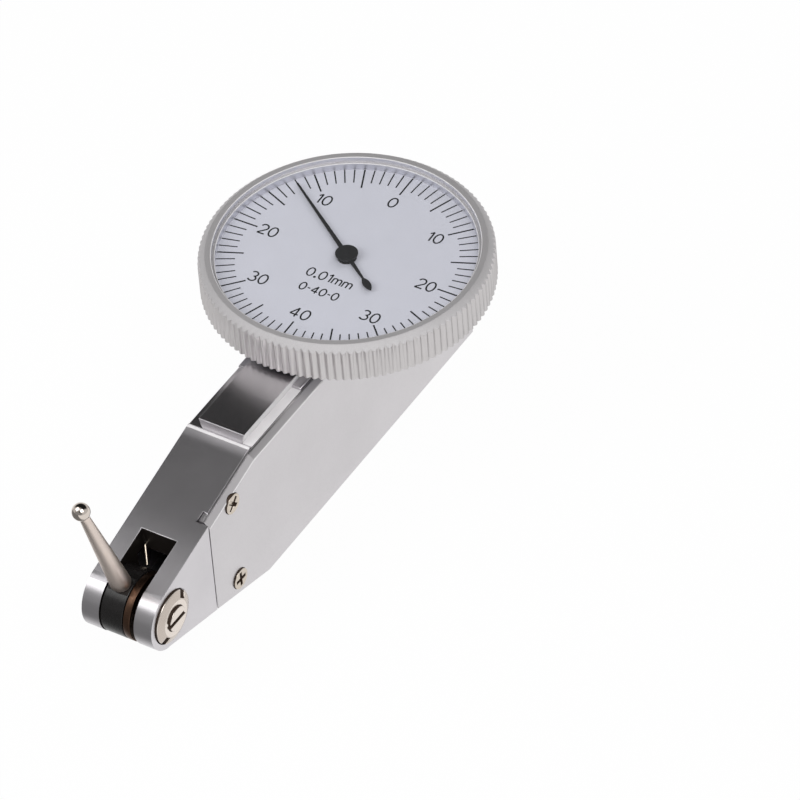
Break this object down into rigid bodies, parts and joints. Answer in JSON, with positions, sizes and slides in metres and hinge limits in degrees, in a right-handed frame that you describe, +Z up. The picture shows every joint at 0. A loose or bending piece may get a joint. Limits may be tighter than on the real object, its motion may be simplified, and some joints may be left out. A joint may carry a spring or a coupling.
{
  "type": "dial test indicator",
  "caption": "Lever dial test indicator: knurled bezel and crystal over a numbered dial, tapered forked body with dovetail bars, swivelling ball-tipped stylus and an inner sector gear train.",
  "frame": {"origin": "on the flat underside, under the dial axis and midway across the body's right and left faces within 0.05 mm", "axes": "+X forward from the dial to the stylus, +Y to the side cover, +Z up out of the dial"},
  "size_m": [0.0693, 0.032, 0.0286],
  "materials": {
    "satin_steel": "satin ground, fine grain",
    "satin_bezel": "satin, fine grain on the knurl",
    "clear_crystal": "clear, polished",
    "dial_enamel": "satin pale grey",
    "pointer_black": "satin black",
    "screw_steel": "nickel plated",
    "bush_nickel": "nickel plated, turned",
    "spring_steel": "bright",
    "movement_brass": "satin brass",
    "lever_bronze": "brown bronze",
    "arbor_steel": "polished",
    "jewel_red": "polished synthetic ruby",
    "holder_black": "black oxide",
    "stylus_nickel": "polished nickel",
    "ball_carbide": "polished"
  },
  "bodies": {
    "frame": {"frame": "satin_steel", "side_cover": "satin_steel", "cover_screws": "screw_steel", "dial_case": "satin_steel", "case_screws": "screw_steel", "hairspring": "spring_steel", "hairspring_stud": "movement_brass", "movement_bridge": "movement_brass", "bridge_screws": "screw_steel", "arbor_cock": "movement_brass", "cock_screws": "screw_steel", "jewels": "jewel_red", "end_stone": "jewel_red", "pivot_bush": "bush_nickel", "pivot_screw": "bush_nickel", "left_bush": "satin_steel", "lever_wire": "spring_steel"},
    "bezel": {"bezel": "satin_bezel", "crystal": "clear_crystal", "dial_face": "dial_enamel", "dial_snap_ring": "spring_steel", "bezel_spring": "spring_steel"},
    "pointer": {"pointer": "pointer_black", "pointer_arbor": "arbor_steel", "hairspring_collet": "movement_brass"},
    "crown": {"crown_wheel": "movement_brass", "crown_arbor": "arbor_steel", "crown_pinion": "arbor_steel"},
    "sector": {"sector_lever": "movement_brass", "sector_arbor": "arbor_steel"},
    "lever": {"measuring_lever": "lever_bronze", "drive_pin": "arbor_steel", "lever_axle": "arbor_steel", "friction_washer": "spring_steel"},
    "stylus": {"stylus_holder": "holder_black", "stylus_shank": "stylus_nickel", "stylus_ball": "ball_carbide"}
  },
  "joints": [
    {"name": "bezel_turn", "type": "hinge", "parent": "frame", "child": "bezel", "pos_m": [0, 0, 0.0226], "axis": [0, 0, 1], "continuous": true},
    {"name": "pointer_turn", "type": "hinge", "parent": "frame", "child": "pointer", "pos_m": [0, 0, 0.0226], "axis": [0, 0, 1], "range_deg": [-180, 180], "stiffness_Nm_per_rad": 0.00001},
    {"name": "crown_turn", "type": "hinge", "parent": "frame", "child": "crown", "pos_m": [0, 0, 0.009], "axis": [0, -1, 0], "range_deg": [-34.4, 34.4]},
    {"name": "sector_swing", "type": "hinge", "parent": "frame", "child": "sector", "pos_m": [0.01278, 0, 0.009], "axis": [0, -1, 0], "range_deg": [-2.15, 2.15]},
    {"name": "lever_swing", "type": "hinge", "parent": "frame", "child": "lever", "pos_m": [0.0437, 0, 0.009], "axis": [0, -1, 0], "range_deg": [-1.2, 1.2]},
    {"name": "stylus_set", "type": "hinge", "parent": "lever", "child": "stylus", "pos_m": [0.0437, 0, 0.009], "axis": [0, -1, 0], "range_deg": [-175, 34]}
  ],
  "couplings": [
    {"joint": "lever_swing", "follows": "pointer_turn", "ratio": 0.0064631},
    {"joint": "sector_swing", "follows": "pointer_turn", "ratio": -0.011574},
    {"joint": "crown_turn", "follows": "pointer_turn", "ratio": 0.18519}
  ]
}
